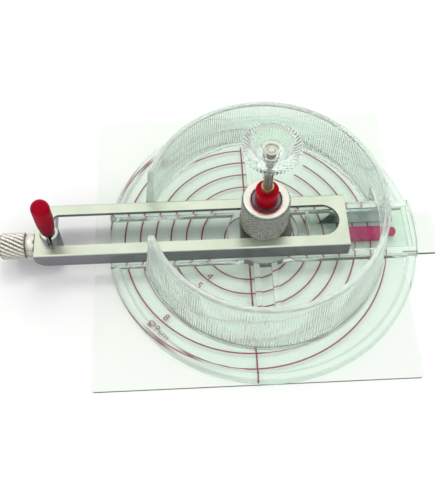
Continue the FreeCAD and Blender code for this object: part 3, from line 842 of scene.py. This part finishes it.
def arc_points(radius, start, end):
    """Points of an arc about the plate's centre, from one angle to another in degrees."""
    steps = max(8, int(abs(end - start) * radius * math.pi / 180 / POINT_STEP))
    angles = [math.radians(start + (end - start) * i / steps) for i in range(steps + 1)]
    return [Vector((radius * math.cos(a), radius * math.sin(a), PRINT_LEVEL)) for a in angles]


def printed_circles(ink):
    """Circles in steps of one centimetre of diameter, broken for the wording at the back."""
    for radius in CIRCLES:
        bm = bmesh.new()
        if radius in RESTART:
            past = math.degrees(math.asin(BREAK_PAST / radius))
            points = arc_points(radius, 90 - past, 360 + RESTART[radius])
            flat_band(bm, points, CIRCLE_WIDTH, False)
        else:
            points = arc_points(radius, 0, 360)[:-1]
            flat_band(bm, points, FINE_WIDTH if radius == CIRCLES[0] else CIRCLE_WIDTH, True)
        finish_piece(to_object("circle", bm), f"print_circle_{int(radius * 2):02d}", ink, "plate")


def printed_line(ink):
    """Centre line through the circles, with a break in the middle."""
    bm = bmesh.new()
    steps = 12
    for low, high in LINE_PARTS:
        points = [Vector((0, low + (high - low) * i / steps, PRINT_LEVEL))
                  for i in range(steps + 1)]
        flat_band(bm, points, LINE_WIDTH, False)
    finish_piece(to_object("line", bm), "print_centre_line", ink, "plate")


def printed_figures(ink):
    """Plain figures that give each circle's diameter in centimetres."""
    for text, radius, size, bearing in FIGURES:
        angle = math.radians(bearing)
        outward = Vector((math.cos(angle), math.sin(angle), 0))
        curve = bpy.data.curves.new("figure", "FONT")
        curve.body = text
        curve.size = size
        curve.align_x, curve.align_y = "CENTER", "CENTER"
        curve.extrude = PRINT_THICK / 2
        curve.offset = BOLDER if text in "5678" else 0.0
        holder = placed("figure", curve)
        mesh = mesh_as_seen(holder)
        bpy.data.objects.remove(holder)
        place = outward * radius + Vector((0, 0, PRINT_LEVEL + PRINT_THICK / 2))
        turned = Matrix.Rotation(math.radians(FIGURE_TURN), 4, "Z")
        mesh.transform(Matrix.Translation(place) @ turned)
        label = "9" if len(text) > 1 else text
        finish_piece(placed("figure", mesh), f"print_figure_{label}", ink, "plate")


# ---------------------------------------------------------------- the scene
camera()
world()
area_light("key", place=(0.02, 0.27, 0.62), target=(0, 0, 0), size=0.26, power=1.0,
           colour=(1, 0.995, 0.98), mirrored=False)
area_light("glint", place=(-0.42, 0.12, 0.52), target=(0, 0, 0.02), size=0.10, power=0.35)
stage_floor(matt_floor())

mint = (0.885, 0.96, 0.906)
bright_nickel = ((0.84, 0.81, 0.72), (0.92, 0.89, 0.80), (0.22, 0.34))
# The plate's and the moulding's low rims get painted shade on their slopes (edges).
sheet_clear = clear_plastic("sheet_clear", (0.94, 0.965, 0.935), 0.015, edges=(0.5, 0.6, 0.55))
moulded_clear = clear_plastic("moulded_clear", mint, 0.02, waviness=0.02, haze=(0.03, 0.15),
                              edges=(0.62, 0.72, 0.67))
lid_clear = clear_plastic("lid_clear", mint, 0.02)
knob_clear = clear_plastic("knob_clear", (0.87, 0.955, 0.895), 0.02, haze=(0.06, 0.06))
# The arm's upright flanges get painted shade (sides), standing in for the shaded plate they
# reflect.
satin = metal("satin_nickel", (0.66, 0.73, 0.58), (0.77, 0.84, 0.68), (0.26, 0.42),
              (0.25, 6, 6), 0.004, sides=(0.215, 0.215, 0.235))
# The nut and thumb screw get painted shade on upright faces (sides) and in their knurl grooves.
nickel_nut = metal("nickel_nut", *bright_nickel, sides=(0.50, 0.48, 0.46),
                   grooves=(AXIS, (1, 1, 0), NUT_RADIUS - NUT_DEPTH, 7.45))
nickel_screw = metal("nickel_screw", *bright_nickel, sides=(0.50, 0.48, 0.43),
                     grooves=(middle_of("thumb_screw"), (0, 1, 1),
                              THUMB_RADIUS - THUMB_DEPTH, 4.1))
dark_steel = metal("dark_steel", (0.16, 0.16, 0.2), (0.26, 0.26, 0.31), (0.3, 0.45))
brass = metal("brass", (0.55, 0.40, 0.20), (0.68, 0.52, 0.29), (0.28, 0.42))
# The guide block's brass is darkened as painted shade, for the nut's shadow over it.
shaded_brass = metal("shaded_brass", (0.12, 0.115, 0.10), (0.24, 0.215, 0.16), (0.35, 0.5))
# The needle steel gets painted shade on its upright faces (sides).
ground = metal("ground_steel", (0.50, 0.50, 0.52), (0.64, 0.64, 0.66), (0.2, 0.34),
               (8, 8, 0.4), 0.002, sides=(0.22, 0.20, 0.18))
blade_steel = metal("blade_steel", (0.28, 0.30, 0.31), (0.38, 0.41, 0.41), (0.28, 0.4),
                    (0.5, 8, 8), 0.002)
spring_steel = metal("spring_steel", (0.4, 0.4, 0.42), (0.5, 0.5, 0.52), (0.25, 0.35))
red_gloss = plastic("red_gloss", (0.30, 0.0005, 0.008), (0.42, 0.001, 0.014), (0.16, 0.26),
                    0.03, coat=0.04, scatter=0.05)
# The cap's lower part is darkened as painted shade.
red_vinyl = plastic("red_vinyl", (0.28, 0.0004, 0.012), (0.38, 0.001, 0.016), (0.16, 0.28),
                    0.02, coat=0.06, scatter=0.05, relief=0.02,
                    lower_shade=((0.15, 0.0003, 0.02), 19, 28))
red_case = plastic("red_case", (0.34, 0.002, 0.08), (0.44, 0.006, 0.12), (0.2, 0.3), 0.1)
ink = plastic("ink", (0.24, 0.002, 0.03), (0.32, 0.005, 0.05), (0.45, 0.6), 0.1)

moulded_base(moulded_clear)
clear_knob(knob_clear)
rivet_head(satin)
coil_spring(spring_steel)
knurled_nut(nickel_nut)
thumb_knurled(nickel_screw)
soft_cap(red_vinyl)
printed_circles(ink)
printed_line(ink)
printed_figures(ink)

for node_name, material, slot_name in (
        ("template_plate", sheet_clear, "template_clear"), ("storage_lid", lid_clear, "base_clear"),
        ("centre_post", dark_steel, "dark_steel"), ("guide_block", shaded_brass, "brass_block"),
        ("nut_washer", dark_steel, "dark_steel"), ("needle_collar", red_gloss, "red_plastic"),
        ("needle_sleeve", brass, "brass"), ("needle_shaft", ground, "polished_steel"),
        ("needle_point", ground, "polished_steel"), ("spring_seat", ground, "polished_steel"),
        ("arm_channel", satin, "satin_nickel"), ("blade_holder", satin, "satin_nickel"),
        ("blade", blade_steel, "blade_steel"), ("pressure_shoe", dark_steel, "dark_steel"),
        ("spare_case", red_case, "red_plastic"), ("spare_blade", blade_steel, "blade_steel")):
    dress(node_name, material)

settings = bpy.context.scene
settings.view_settings.view_transform = "Standard"
settings.cycles.max_bounces = 32
settings.cycles.transmission_bounces = 24
settings.cycles.glossy_bounces = 8
settings.cycles.transparent_max_bounces = 32
settings.cycles.caustics_reflective = False
settings.cycles.caustics_refractive = False
settings.cycles.sample_clamp_indirect = 6
